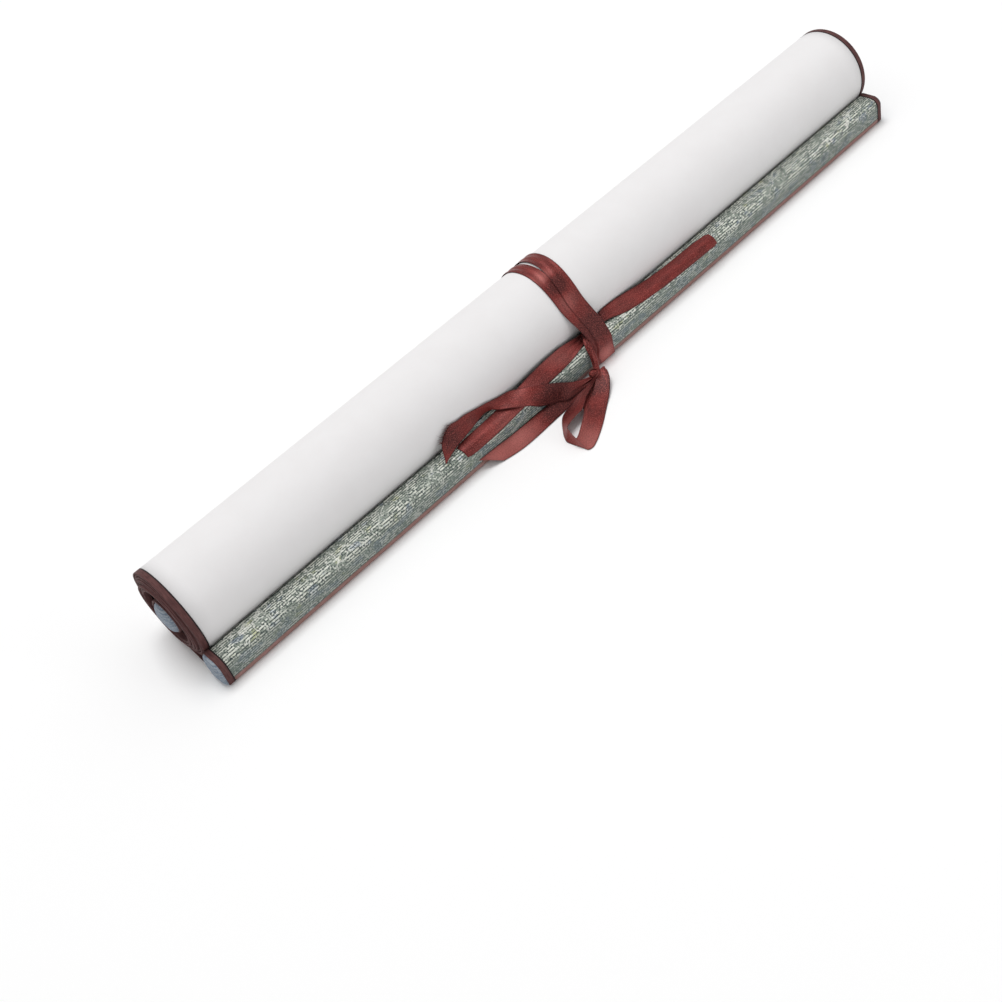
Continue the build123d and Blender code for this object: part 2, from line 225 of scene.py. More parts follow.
def thin_sheet(points, thickness, uv, closed=False):
    """The shape of a sheet round a grid of middle points: the grid is offset by half the thickness to both
    sides along its normals, or a quarter of that at its two long edges, where the layers are joined. A
    closed sheet's last row meets its first."""
    rows, columns = points.shape[:2]
    if closed:
        along = np.roll(points, -1, 0) - np.roll(points, 1, 0)
    else:
        along = np.gradient(points, axis=0)
    normals = unit(np.cross(along, np.gradient(points, axis=1)))
    half = np.full(columns, thickness / 2)
    half[[0, -1]] /= 4
    shift = normals * half[None, :, None]
    ring = np.concatenate([points + shift, (points - shift)[:, ::-1]], axis=1)
    ring_uv = np.concatenate([uv, uv[:, ::-1]], axis=1)
    return ring, ring_faces(rows, 2 * columns, closed), ring_uv


class Value:
    """A number in a material's node tree. Arithmetic on it adds Math nodes."""

    def __init__(self, finish, socket):
        self.finish = finish
        self.socket = socket

    def __add__(self, other):
        return self.finish.math("ADD", self, other)

    def __sub__(self, other):
        return self.finish.math("SUBTRACT", self, other)

    def __rsub__(self, other):
        return self.finish.math("SUBTRACT", other, self)

    def __mul__(self, other):
        return self.finish.math("MULTIPLY", self, other)

    __radd__ = __add__
    __rmul__ = __mul__


class Finish:
    """A procedural material under construction."""

    def __init__(self, name):
        self.material = bpy.data.materials.new(name)
        self.material.use_nodes = True
        self.tree = self.material.node_tree
        self.tree.nodes.clear()

    def node(self, kind, settings=None, inputs=None, output=0):
        """Adds a node, sets it up, fills its inputs with links or constants and gives one output."""
        made = self.tree.nodes.new(kind)
        for key, setting in (settings or {}).items():
            setattr(made, key, setting)
        for key, value in (inputs or {}).items():
            if isinstance(value, Value):
                self.tree.links.new(value.socket, made.inputs[key])
            else:
                made.inputs[key].default_value = value
        return Value(self, made.outputs[output]) if made.outputs else None

    def math(self, operation, *terms):
        """One Math node on values and numbers."""
        return self.node("ShaderNodeMath", {"operation": operation}, dict(enumerate(terms)))

    def step(self, value, low, high):
        """0 below low, 1 above high and a smooth rise between them."""
        kind = {"interpolation_type": "SMOOTHSTEP"}
        return self.node("ShaderNodeMapRange", kind, {"Value": value, "From Min": low, "From Max": high})

    def mix(self, factor, first, second):
        """A colour between two colours."""
        inputs = {0: factor, 6: first, 7: second}
        return self.node("ShaderNodeMix", {"data_type": "RGBA"}, inputs, 2)

    def layered(self, colour, *layers):
        """A colour with others laid over it in turn, each as far as its mask says."""
        for mask, over in layers:
            colour = self.mix(mask, colour, over)
        return colour

    def parts(self, vector, count):
        """The first numbers of a vector, one by one."""
        return [self.node("ShaderNodeSeparateXYZ", None, {0: vector}, i) for i in range(count)]

    def in_mm(self, metres):
        """A vector in metres as millimetres."""
        return self.node("ShaderNodeVectorMath", {"operation": "SCALE"}, {0: metres, "Scale": 1 / MM})

    def point(self):
        """The point in the object's own space, in millimetres."""
        return self.in_mm(self.node("ShaderNodeTexCoord", output="Object"))

    def cloth(self):
        """The texture coordinate in millimetres: along the piece's length, and across it."""
        return self.parts(self.in_mm(self.node("ShaderNodeUVMap", {"uv_map": "cloth"})), 2)

    def vector(self, x, y, z=0.0):
        """A vector from its numbers."""
        return self.node("ShaderNodeCombineXYZ", None, {0: x, 1: y, 2: z})

    def noise(self, point, scale, detail=2.0, roughness=0.5, distortion=0.0):
        """Soft noise about 0.5, with scale lumps to a unit."""
        inputs = {"Vector": point, "Scale": scale, "Detail": detail, "Roughness": roughness,
                  "Distortion": distortion}
        return self.node("ShaderNodeTexNoise", None, inputs)

    def spot(self, point, middle, radius):
        """1 at a place, falling smoothly to 0 at the radius round it."""
        away = self.node("ShaderNodeVectorMath", {"operation": "DISTANCE"}, {0: point, 1: middle}, 1)
        return self.step(away, radius, 0.0)

    def speckle(self, x, y):
        """A different number from 0 to 1 in each unit cell of the plane."""
        cell = self.vector(self.math("FLOOR", x), self.math("FLOOR", y))
        return self.node("ShaderNodeTexWhiteNoise", {"noise_dimensions": "2D"}, {"Vector": cell})

    def surface(self, colour, rough, height=None, depth_mm=0.1, **constants):
        """Joins colour, roughness and relief to the shader; constants go on its own sockets."""
        inputs = {"Base Color": colour, "Roughness": rough}
        if height is not None:
            bump = {"Height": height, "Strength": 1.0, "Distance": depth_mm * MM}
            inputs["Normal"] = self.node("ShaderNodeBump", None, bump)
        for key, value in constants.items():
            inputs[key.replace("_", " ")] = value
        shader = self.node("ShaderNodeBsdfPrincipled", None, inputs)
        self.node("ShaderNodeOutputMaterial", None, {"Surface": shader})
        return self.material


def paper_finish():
    """White backing paper: barely mottled, with long fibres and a faint tooth."""
    shaded, white, fibre = (0.785, 0.77, 0.772, 1), (0.80, 0.787, 0.79, 1), (0.74, 0.72, 0.70, 1)
    f = Finish("backing_paper")
    point = f.point()
    x, y, z = f.parts(point, 3)
    mottle = f.noise(point, 0.06, 4.0, 0.6)
    fibres = f.noise(f.vector(x * 0.5, y * 2.2, z * 2.2), 1.4, 3.0, 0.6)
    tooth = f.noise(point, 3.2, 3.0, 0.65)
    base = f.mix(f.step(mottle, 0.3, 0.7), shaded, white)
    colour = f.mix(f.step(fibres, 0.62, 0.8) * 0.25, base, fibre)
    height = tooth * 0.6 + fibres * 0.4
    return f.surface(colour, 0.82 + tooth * 0.1, height, 0.05, Specular_IOR_Level=0.3)


# Colours of the brocade: the ground with its ribs, clouds and furrows, the threads that float over it with
# the gaps between them, the flecks and stems on both, and over all the painted shade of the low front, the
# tint of the end covers and the painted shade of the crevice behind the batten
MOSS, SAGE, GROUND_RIB = (0.195, 0.228, 0.195, 1), (0.33, 0.366, 0.315, 1), (0.72, 0.745, 0.67, 1)
OLIVE, SLATE, FURROW = (0.42, 0.45, 0.24, 1), (0.20, 0.24, 0.30, 1), (0.10, 0.125, 0.11, 1)
CREAM, DULL_GOLD, BLUE_GREY = (0.71, 0.735, 0.65, 1), (0.60, 0.62, 0.40, 1), (0.50, 0.56, 0.62, 1)
GAP, DARK_FLECK, PALE_FLECK = (0.035, 0.05, 0.045, 1), (0.04, 0.055, 0.06, 1), (0.84, 0.855, 0.79, 1)
STEM, LOW_FRONT_SHADE, LAVENDER = (0.86, 0.865, 0.80, 1), (0.135, 0.17, 0.155, 1), (0.22, 0.275, 0.41, 1)
CREVICE_SHADE = (0.008, 0.009, 0.009, 1)


def brocade_finish(name, crevice_shade_mm=None, turned=False, cool=0.0):
    """Jacquard brocade. Ribs of thread run along the roll, 1.3 mm apart, each broken into dashes of its
    own. In patches they float in pale cream over dark gaps. Between the patches they sink into a speckled
    grey-green ground, with clouds of blue-grey thread, more of them low on the front as painted shade, and of
    dull gold. Flecks and pale stems lie on both. Painted shade makes the low front deeper green, and a dark
    line of painted shade may mark the crevice behind the batten."""
    rib = 1.3
    f = Finish(name)
    along, across = f.cloth()
    if turned:
        along, across = across, along
    place = along * (1 / rib)
    row = f.math("FLOOR", place)
    crown = f.math("ABSOLUTE", f.math("SINE", place * math.pi))
    lot = f.speckle(row, 3.0)
    dash = f.noise(f.vector(across * 0.23 + lot * 90.0, row * 5.3), 1.0, 1.0, 0.6)
    fleck = f.noise(f.vector(across * 1.15, place * 1.3), 1.0, 0.0)
    grain = f.noise(f.vector(across * 1.9, along * 2.3 + 40.0), 1.0, 1.0, 0.6)
    warp = f.noise(f.vector(along, across), 0.14, 2.0)
    flow = f.vector(along * 1.1 + warp * 9.0, across * 0.7 + warp * 9.0)
    patch = f.noise(flow, 0.13, 1.0)
    vine = f.noise(flow, 0.11, 1.0)
    tone = f.noise(f.vector(along * 1.3, across * 0.7 + 90.0), 0.14, 2.0)
    ribbed = f.step(patch, 0.38, 0.46)
    # painted shade: the low front of the batten is darkened, and blue-grey clouds are raised there
    low = 1.0 - f.step(along, 13.5, 19.5)
    cloud = f.step(tone + low * 0.10, 0.60, 0.67)
    gold = f.step(tone, 0.37, 0.31)
    stem = (1.0 - f.step(f.math("ABSOLUTE", vine - 0.5), 0.004, 0.014)) * f.step(grain, 0.38, 0.5)
    ground = f.layered(
        f.mix(f.step(grain, 0.35, 0.65), MOSS, SAGE),
        (f.step(dash, 0.55, 0.62) * crown * 0.7, GROUND_RIB),
        (gold * 0.5, OLIVE),
        (cloud * 0.75, SLATE),
        ((1.0 - crown) * 0.4, FURROW))
    thread = f.mix(cloud * 0.6, f.mix(gold, CREAM, DULL_GOLD), BLUE_GREY)
    loose = f.step(f.noise(f.vector(across * 0.7, row * 3.1), 1.0, 0.0), 0.30, 0.45)
    gap = f.step(crown, 0.66, 0.30) * loose
    floated = f.step(dash, 0.44, 0.50) * f.step(crown, 0.45, 0.85)
    layers = [
        (ribbed, f.layered(ground, (floated * 0.9, thread), (gap * 0.9, GAP))),
        (f.step(fleck, 0.64, 0.67) * 0.95, DARK_FLECK),
        (f.step(fleck, 0.33, 0.30) * 0.7, PALE_FLECK),
        (stem * 0.8, STEM),
        # painted shade: the low front laid over in deeper green
        (low * 0.55, LOW_FRONT_SHADE)]
    if cool:
        layers.append((cool, LAVENDER))
    # painted shade: a dark line along the crevice where the roll meets the batten
    if crevice_shade_mm:
        layers.append(((1.0 - f.step(f.math("ABSOLUTE", along - crevice_shade_mm), 0.12, 0.5)) * 0.95, CREVICE_SHADE))
    height = crown * 0.5 + floated * ribbed * 0.5 + stem * 0.3
    return f.surface(f.layered(ground, *layers), 0.66 - floated * 0.18, height, 0.22, Specular_IOR_Level=0.35)


def binding_finish(name, dark, light, border_mm=None):
    """Plain brown binding cloth: a fine square weave of two sines, slubs along it and, where its border
    is given, a dark line there on both sides, partly glue and partly painted shade of the step."""
    glue_and_shade = (0.008, 0.006, 0.007, 1)
    f = Finish(name)
    along, across = f.cloth()
    thread = 2 * math.pi / 0.45
    weave = f.math("SINE", along * thread) * f.math("SINE", across * thread) * 0.5 + 0.5
    slub = f.noise(f.vector(along * 0.25, across * 2.5), 0.8, 3.0, 0.6)
    wear = f.noise(f.vector(along, across), 0.35, 3.0, 0.6)
    colour = f.mix(f.step(slub * 0.7 + wear * 0.3, 0.35, 0.68), dark, light)
    colour = f.mix(weave * 0.3, colour, tuple(0.55 * c for c in dark[:3]) + (1,))
    if border_mm:
        # dark glue and painted shade of the step along the border
        edge = f.step(f.math("ABSOLUTE", across), border_mm - 0.55, border_mm - 0.2)
        colour = f.mix(edge * 0.95, colour, glue_and_shade)
    return f.surface(colour, 0.55 + wear * 0.2, weave * 0.5 + slub * 0.5, 0.12, Specular_IOR_Level=0.2)


def wood_finish():
    """Pale planed softwood: rings from a sine of noise drawn out along the roll, and pores of finer noise."""
    early, late, pore = (0.55, 0.38, 0.22, 1), (0.68, 0.52, 0.34, 1), (0.36, 0.23, 0.12, 1)
    f = Finish("planed_wood")
    x, y, z = f.parts(f.point(), 3)
    rings = f.noise(f.vector(x * 0.02, y * 0.6, z * 0.6), 1.0, 4.0, 0.6, 0.6)
    pores = f.noise(f.vector(x * 0.3, y * 6.0, z * 6.0), 1.0, 3.0, 0.6)
    bands = f.math("SINE", rings * 42.0) * 0.5 + 0.5
    colour = f.mix(f.step(pores, 0.58, 0.72) * 0.5, f.mix(bands, early, late), pore)
    return f.surface(colour, 0.6 + pores * 0.2, bands * 0.4 + pores * 0.6, 0.08)


# Spots of painted highlight (above 0) and painted shade (below 0) on the satin, standing in for its sheen:
# the middle and radius in millimetres, and how much
SATIN_PAINTED_LIGHT = [
    ((0.9, -9.3, 49.2), 9, 0.9), ((2.2, -15.1, 45.6), 9, -1.4), ((0.7, -21.9, 37.6), 10, 0.5),
    ((8, -27.5, 20), 17, -1), ((7, -36, 4), 9, 1.3), ((8.5, -4, 50), 8, -0.35), ((-20, -25, 17), 18, 0.5),
    ((-31, -39.5, 8), 20, -0.9), ((-47.7, -31.3, 17), 9, 0.2), ((-94, -28, 23), 14, -0.7),
    ((-64, -41, 3), 22, 0.9), ((-36.7, -40.8, 3), 13, -0.6), ((-12, -49, 4.5), 13, -0.8),
    ((-43, -71.9, 1), 17, 0.9), ((-40, -53, 6), 12, 0.5), ((-82, -40, 3), 14, 0.8),
    ((-2, -35.5, 14), 6, -0.4), ((30, -26, 16), 16, 0.15), ((-78, -26, 15.9), 10, 0.35),
]


def satin_finish():
    """Maroon satin: a fine slanting twill, a grainy weave of lighter and darker threads, a selvedge at
    both edges, lengthwise streaks and a soft gloss, with spots of painted highlight and painted shade."""
    deep, maroon, painted_highlight = (0.06, 0.008, 0.0075, 1), (0.25, 0.032, 0.027, 1), (0.56, 0.19, 0.17, 1)
    bright_thread, dark_thread = (0.50, 0.13, 0.11, 1), (0.045, 0.006, 0.006, 1)
    furrow, edge = (0.06, 0.009, 0.010, 1), (0.045, 0.009, 0.010, 1)
    f = Finish("maroon_satin")
    along, across = f.cloth()
    twill = f.math("SINE", (along + across * 1.2) * (2 * math.pi / 0.9)) * 0.5 + 0.5
    grain = f.noise(f.vector(along * 1.5, across * 2.3), 1.0, 1.0, 0.7)
    streak = f.noise(f.vector(along * 0.10, across * 1.2), 1.0, 3.0, 0.6)
    cloud = f.noise(f.vector(along, across), 0.085, 2.0)
    selvedge = f.step(f.math("ABSOLUTE", across), 4.3, 4.6)
    tone = f.step(streak * 0.5 + cloud * 0.5, 0.36, 0.62)
    point = f.point()
    # painted highlight and painted shade: soft spots in object space lighten toward pink or darken toward
    # deep
    painted_light = sum(f.spot(point, middle, radius) * amount for middle, radius, amount in SATIN_PAINTED_LIGHT)
    colour = f.layered(
        f.mix(0.25 + tone * 0.6 + f.math("MINIMUM", painted_light, 0.0), deep, maroon),
        (painted_light * 0.65, painted_highlight),
        (twill * 0.2, furrow),
        (f.step(grain, 0.50, 0.66) * 0.42, bright_thread),
        (f.step(grain, 0.48, 0.34) * 0.45, dark_thread),
        (selvedge * 0.4, edge))
    height = twill * 0.2 + grain * 0.6 + selvedge * 0.4
    return f.surface(colour, 0.40 + streak * 0.12, height, 0.10, Metallic=0.35, Specular_IOR_Level=0.3,
                     Anisotropic=0.3)


def floor_finish():
    """Pale matt ground, the same all over."""
    return Finish("pale_floor").surface((0.95, 0.95, 0.95, 1), 0.9)


def trace(pieces, finest):
    """Points and left-hand normals along lines and arcs in the (y, z) plane, at most finest apart.
    A line is (start, end); an arc is (centre, radius, start angle, sweep), in radians."""
    points, normals = [], []
    for piece in pieces:
        if len(piece) == 2:
            start, end = (np.asarray(p, float) for p in piece)
            count = max(int(np.ceil(np.linalg.norm(end - start) / finest)), 1)
            run = unit(end - start)
            t = np.arange(count)[:, None] / count
            points.append(start + (end - start) * t)
            normals.append(np.repeat([[-run[1], run[0]]], count, 0))
        else:
            centre, radius, first, sweep = piece
            count = max(int(np.ceil(abs(sweep) * radius / finest)), 4)
            angle = first + sweep * np.arange(count) / count
            spoke = np.stack([np.cos(angle), np.sin(angle)], -1)
            points.append(np.asarray(centre) + radius * spoke)
            normals.append(-np.sign(sweep) * spoke)
    return np.concatenate(points), np.concatenate(normals)


def lengths_along(points):
    """The distance from the first point to each one, along the line through them."""
    return np.concatenate([[0.0], np.cumsum(np.linalg.norm(np.diff(points, axis=0), axis=-1))])


def sheet_line():
    """The sheet's middle line in the (y, z) plane: round the batten, along the floor, then the roll,
    whose half circles shrink by half a pitch each, and a last turn that grips the rod."""
    half = SHEET / 2
    near, far = BATTEN_FRONT + half, BATTEN_REAR - half
    low, high = half, BATTEN_TOP - half
    foot, corner, rear = FOOT - half, CORNER - half, REAR_CORNER - half
    quarter = math.pi / 2
    pieces = [
        ((near + foot + 5.0 * MM, low), (near + foot, low)),
        ((near + foot, low + foot), foot, -quarter, -quarter),
        ((near, low + foot), (near, high - corner)),
        ((near + corner, high - corner), corner, 2 * quarter, -quarter),
        ((near + corner, high), (far - rear, high)),
        ((far - rear, high - rear), rear, quarter, -quarter),
        ((far, high - rear), (far, low + foot)),
        ((far + foot, low + foot), foot, 2 * quarter, quarter),
        ((far + foot, low), (0.0, low)),
    ]
    bottom = low
    for turn in range(TURNS):
        for side, radius in ((-1, FIRST_RADIUS - turn * PITCH), (1, FIRST_RADIUS - (turn + 0.5) * PITCH)):
            centre = bottom + radius if side < 0 else bottom - radius
            pieces.append(((0.0, centre), radius, side * quarter, math.pi))
            bottom = centre - side * radius
    grip = ROD_RADIUS + CLEARANCE + half
    bridge = (REAR_HUB + grip - bottom) / 2
    pieces.append(((0.0, bottom + bridge), bridge, -quarter, math.pi))
    pieces.append(((0.0, REAR_HUB), grip, quarter, math.pi))
    pieces.append(((0.0, REAR_HUB), grip, -quarter, quarter * 0.7))
    return pieces


LINE_PIECES = sheet_line()
STEP = 0.9 * MM
LINE, LINE_NORMALS = trace(LINE_PIECES, STEP)
LINE_DISTANCE = lengths_along(LINE)


def distance_at(piece):
    """How far along the sheet's line one of its pieces starts."""
    return LINE_DISTANCE[len(trace(LINE_PIECES[:piece], STEP)[0])]


# Where the roll starts on the line, where the wrap's top turns down behind the batten, at the crevice that
# the brocade darkens with painted shade, and how much of the roll, along the sheet, has fine columns
WRAP_LENGTH = distance_at(9)
SHADED_CREVICE = distance_at(5) + 0.3 * MM
FINE_LENGTH = 0.185


def inward(start, length):
    """A share for each point of the line, which grows from 0 to 1 over a length in metres, from a start
    measured along the sheet from where the roll begins."""
    return np.clip((LINE_DISTANCE - WRAP_LENGTH - start) / length, 0, 1)


def loosened():
    """The sheet's line with the small unevenness of real turns, growing from the second turn inward."""
    uneven = ripple(LINE_DISTANCE, (0.06, 0.139, 0.4), (0.04, 0.083, 2.1), (0.02, 0.047, 1.0)) * MM
    return LINE + LINE_NORMALS * (uneven * inward(0.17, 0.12))[:, None]


def edge_shift(phase):
    """How far the sheet's side edge stands in from the flush end, since turns never line up exactly."""
    waves = (0.35, 0.21, phase), (0.25, 0.093, 2 * phase)
    return inward(0.16, 0.3) * (0.55 + ripple(LINE_DISTANCE, *waves)) * MM


def drift():
    """How far the sheet has wandered to the right of the batten: nothing round the batten, all of DRIFT
    from the roll's first turn on, because nobody rolls a scroll quite square, and CREEP less than that
    at the core, whose turns stand out at the left end."""
    return DRIFT * eased(inward(-0.024, 0.030)) - CREEP * inward(0.22, 0.5)


LINE = loosened()
LINE_DRIFT = drift()


def arched(grid):
    """The points, with what lies on the floor raised in a low arch where the ribbon passes under it: by
    the product of one eased share that falls off along X and one that falls off with height."""
    x, z = grid[..., 0], grid[..., 2]
    near = eased((ARCH_REACH - np.abs(x - ARCH_MIDDLE)) / ARCH_SLOPE)
    low = eased((2.4 * MM - z) / (1.6 * MM))
    return np.concatenate([grid[..., :2], (z + ARCH_HEIGHT * near * low)[..., None]], -1)


def band(columns, low, high, rows):
    """A strip of the sheet's section: the line's rows offset along its normals to low and high, at each of
    the columns along X and with the sheet's drift. The side faces, ends and edges are closed."""
    distance = LINE_DISTANCE[rows]
    columns = columns + LINE_DRIFT[rows][:, None]
    count = columns.shape[1]
    grids, uvs = [], []
    for offset, order in ((high, 1), (low, -1)):
        x = columns[:, ::order]
        section = LINE[rows] + LINE_NORMALS[rows] * offset
        grids.append(along_x(x, np.repeat(section[:, None, :], count, 1)))
        uvs.append(together(distance[:, None], x))
    return arched(np.concatenate(grids, 1)), ring_faces(len(rows), 2 * count), np.concatenate(uvs, 1)


def make_sheet(paper, brocade):
    """The sheet in two layers, paper behind and brocade in front, each half its thickness. The turns that
    can be seen have fine columns, finest over the ribbon, and the ones inside have a few. The binding
    covers the last of the side edges."""
    inner_end = HALF_WIDTH - BINDING_WIDTH + 0.6 * MM
    arch_start, arch_end = -20 * MM, 30 * MM
    fine = np.concatenate([
        np.linspace(-inner_end, arch_start, 28)[:-1], np.linspace(arch_start, arch_end, 26),
        np.linspace(arch_end, inner_end, 28)[1:]])
    coarse = np.linspace(-inner_end, inner_end, 9)
    outer_rows = np.arange(int(np.searchsorted(LINE_DISTANCE, WRAP_LENGTH + FINE_LENGTH)))
    inner_rows = np.arange(outer_rows[-1], len(LINE))
    half = SHEET / 2
    for name, low, high, material, slot in (
        ("paper_back", -half, 0.0, paper, "mounted_sheet"),
        ("brocade_front", 0.0, half, brocade, "brocade"),
    ):
        outer = band(fine, low, high, outer_rows)
        inner = band(coarse, low, high, inner_rows)
        make_piece(name, joined(outer, inner), material, "scroll_sheet")


def make_edge_binding(side, material):
    """A brown strip folded round one side edge. Its profile, a flat U with a round fold, follows the line,
    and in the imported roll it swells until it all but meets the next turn's."""
    half = SHEET / 2 + BINDING_PROUD
    bend = np.linspace(-math.pi / 2, math.pi / 2, 8)[1:-1]
    inside = np.concatenate([[0.0, 0.0, 0.35, 1.0], np.ones(6), [1.0, 0.35, 0.0, 0.0]])
    offset = np.concatenate([[-0.8, -1.0, -1.0, -1.0], np.sin(bend), [1.0, 1.0, 1.0, 0.8]])
    nose = np.concatenate([np.zeros(4), np.cos(bend), np.zeros(4)])
    along = inside * (BINDING_WIDTH - half) + nose * half
    girth = lengths_along(np.stack([along, offset * half], -1))
    girth -= girth[-1] / 2
    out = HALF_WIDTH - BINDING_WIDTH + along[None, :] - edge_shift(1.3 + side)[:, None]
    x = side * out + LINE_DRIFT[:, None]
    spread = half + (PITCH / 2 - CLEARANCE - half) * inward(0.10, 0.08)[:, None]
    section = LINE[:, None, :] + LINE_NORMALS[:, None, :] * (offset * spread)[..., None]
    shape = arched(along_x(x, section)), ring_faces(*x.shape), together(LINE_DISTANCE[:, None], girth)
    name = "left_edge_binding" if side < 0 else "right_edge_binding"
    make_piece(name, shape, material, "edge_bindings")


def make_head_binding(material):
    """The brown strip along the batten's lower front, folded under it: the line's rows there, a little
    proud of the brocade, with an upper edge that wavers by a sum of sines."""
    inner_end = HALF_WIDTH - BINDING_WIDTH + 0.3 * MM
    in_front = (LINE[:, 1] < HEAD_HEIGHT) & (LINE[:, 0] < BATTEN_FRONT + HEAD_RETURN)
    rows = np.flatnonzero((LINE_DISTANCE < WRAP_LENGTH) & in_front)
    x = np.linspace(-inner_end, inner_end, 121)[None, :]
    uneven = 1 + ripple(x, (0.02, 0.11, 0.0), (0.015, 0.043, 1.0))
    offset = SHEET / 2 + (BINDING_PROUD - CLEARANCE) / 2
    section = LINE[rows] + LINE_NORMALS[rows] * offset
    middle = arched(together(x, section[:, :1], section[:, 1:] * uneven))
    uv = together(x, (LINE_DISTANCE[rows] - LINE_DISTANCE[rows[-1]])[:, None])
    shape = thin_sheet(middle, BINDING_PROUD + CLEARANCE, uv)
    make_piece("head_binding_strip", shape, material, "head_binding")


def rounded_section(count, inset):
    """The wrapped batten's outline in the (y, z) plane, count points round it, with its four corner radii."""
    low_y, high_y = BATTEN_FRONT + inset, BATTEN_REAR - inset
    low_z, high_z = inset, BATTEN_TOP - inset
    corners = [(low_y, high_z, CORNER, 1), (high_y, high_z, REAR_CORNER, 0), (high_y, low_z, FOOT, 3),
               (low_y, low_z, FOOT, 2)]
    outline = []
    for y, z, radius, quadrant in corners:
        radius = max(radius - inset, 0.4 * MM)
        y += radius if y == low_y else -radius
        z += radius if z == low_z else -radius
        angle = math.pi / 2 * (quadrant + 1) - np.linspace(0, math.pi / 2, 12)
        outline.append(np.stack([y + radius * np.cos(angle), z + radius * np.sin(angle)], -1))
    outline = np.concatenate(outline)
    closed = np.concatenate([outline, outline[:1]])
    distance = lengths_along(closed)
    even = np.linspace(0, distance[-1], count, endpoint=False)
    return np.stack([np.interp(even, distance, closed[:, i]) for i in range(2)], -1)


def make_cover(name, node, outline, side, end, start, aside, material):
    """Brocade drawn over an end of wood. Ring by ring the outline shrinks by a power of the cosine and
    bulges outward by a power of the sine of one angle, with small gathers round the rim. A plain sleeve
    runs back to start."""
    rings, count = 22, len(outline)
    rim = HALF_WIDTH - 0.4 * MM
    middle = outline.mean(0)
    angle = np.linspace(0, 0.995 * math.pi / 2, rings)[:, None]
    turn = round_circle(count)
    gather = 1 + (0.012 * np.sin(turn * 9 + 0.5) + 0.010 * np.sin(turn * 17)) * np.cos(angle)
    bulge = np.sin(angle) ** 0.7 * (1 + 0.05 * np.sin(turn * 3 + 1) * np.cos(angle))
    section = middle + (outline - middle) * (np.cos(angle) ** 0.75 * gather)[..., None]
    section = np.concatenate([section[:1], section])
    x = np.concatenate([np.full((1, count), start), rim + (end - rim) * bulge]) * side + aside
    shape = along_x(x, section), ring_faces(rings + 1, count), section - middle
    make_piece(name, shape, material, node)


def make_covers(material):
    """The four end covers, on the batten and on the rod. The rod's sleeves are a little wider than the
    rod, so that their gathers stay clear of it, and long, because the core has crept away from one end."""
    count = 96
    turn = -round_circle(count)
    rod = np.stack([np.cos(turn), np.sin(turn)], -1) * (ROD_RADIUS + 0.25 * MM) + [0, REAR_HUB]
    batten = rounded_section(count, 0.5 * MM)
    batten_end, rod_end = batten_cover_end - 0.8 * MM, rod_cover_end - 0.1 * MM
    batten_start, rod_start = HALF_WIDTH - 0.8 * MM, HALF_WIDTH - 6.0 * MM
    for side, word in ((-1, "left"), (1, "right")):
        make_cover(f"batten_cover_{word}", "batten_end_covers", batten, side, batten_end, batten_start,
                   0.0, material)
        make_cover(f"rod_cover_{word}", "rod_end_covers", rod, side, rod_end, rod_start, DRIFT, material)


# What is laid over the batten: the length of the round front corner, and the radius it lies in at the floor
FRONT_RUN = CORNER * math.pi / 2
FLOOR_FILLET = 4.0 * MM


def laid_point(distance, rise, lift):
    """The (y, z) point of something laid over the batten. Distance is measured down from the start of the
    round front corner: over the corner, down the front, round a fillet and out over the floor. Upward it
    runs straight to the roll, which it meets rise above the batten's top, and on up the roll."""
    distance, rise, lift = np.broadcast_arrays(distance, rise, lift)
    radius, reach = FRONT_RADIUS + lift, CORNER + lift
    lean_z = BATTEN_TOP + lift + np.maximum(rise, 0)
    lean_y = -np.sqrt(radius**2 - (lean_z - FRONT_HUB) ** 2)
    gap_y, gap_z = lean_y - CORNER_Y, lean_z - CORNER_Z
    gap = np.hypot(gap_y, gap_z)
    contact = np.arctan2(gap_z, gap_y) + np.arccos(np.clip(reach / gap, -1, 1))
    touch_y, touch_z = CORNER_Y + reach * np.cos(contact), CORNER_Z + reach * np.sin(contact)
    run = np.hypot(lean_y - touch_y, lean_z - touch_z)
    touch = CORNER * (contact - math.pi / 2)
    straight = (touch - distance) / run
    above = np.maximum(touch - distance - run, 0)
    angle = math.pi + np.arcsin((FRONT_HUB - lean_z) / radius) - above / FRONT_RADIUS
    turn = math.pi / 2 + np.minimum(distance, FRONT_RUN) / CORNER
    down = distance - FRONT_RUN
    fall = CORNER_Z - FLOOR_FILLET
    fillet = FLOOR_FILLET * math.pi / 2
    bend = np.clip((down - fall) / FLOOR_FILLET, 0, math.pi / 2)
    out = np.maximum(down - fall - fillet, 0)
    front = BATTEN_FRONT - lift
    where = [distance < touch - run, distance < touch, down < 0, down < fall]
    y = np.select(where, [
        radius * np.cos(angle), touch_y + (lean_y - touch_y) * straight, CORNER_Y + reach * np.cos(turn),
        front], front - (FLOOR_FILLET - lift) * (1 - np.cos(bend)) - out)
    z = np.select(where, [
        FRONT_HUB + radius * np.sin(angle), touch_z + (lean_z - touch_z) * straight,
        CORNER_Z + reach * np.sin(turn), CORNER_Z - down], lift + (FLOOR_FILLET - lift) * (1 - np.sin(bend)))
    return y, z


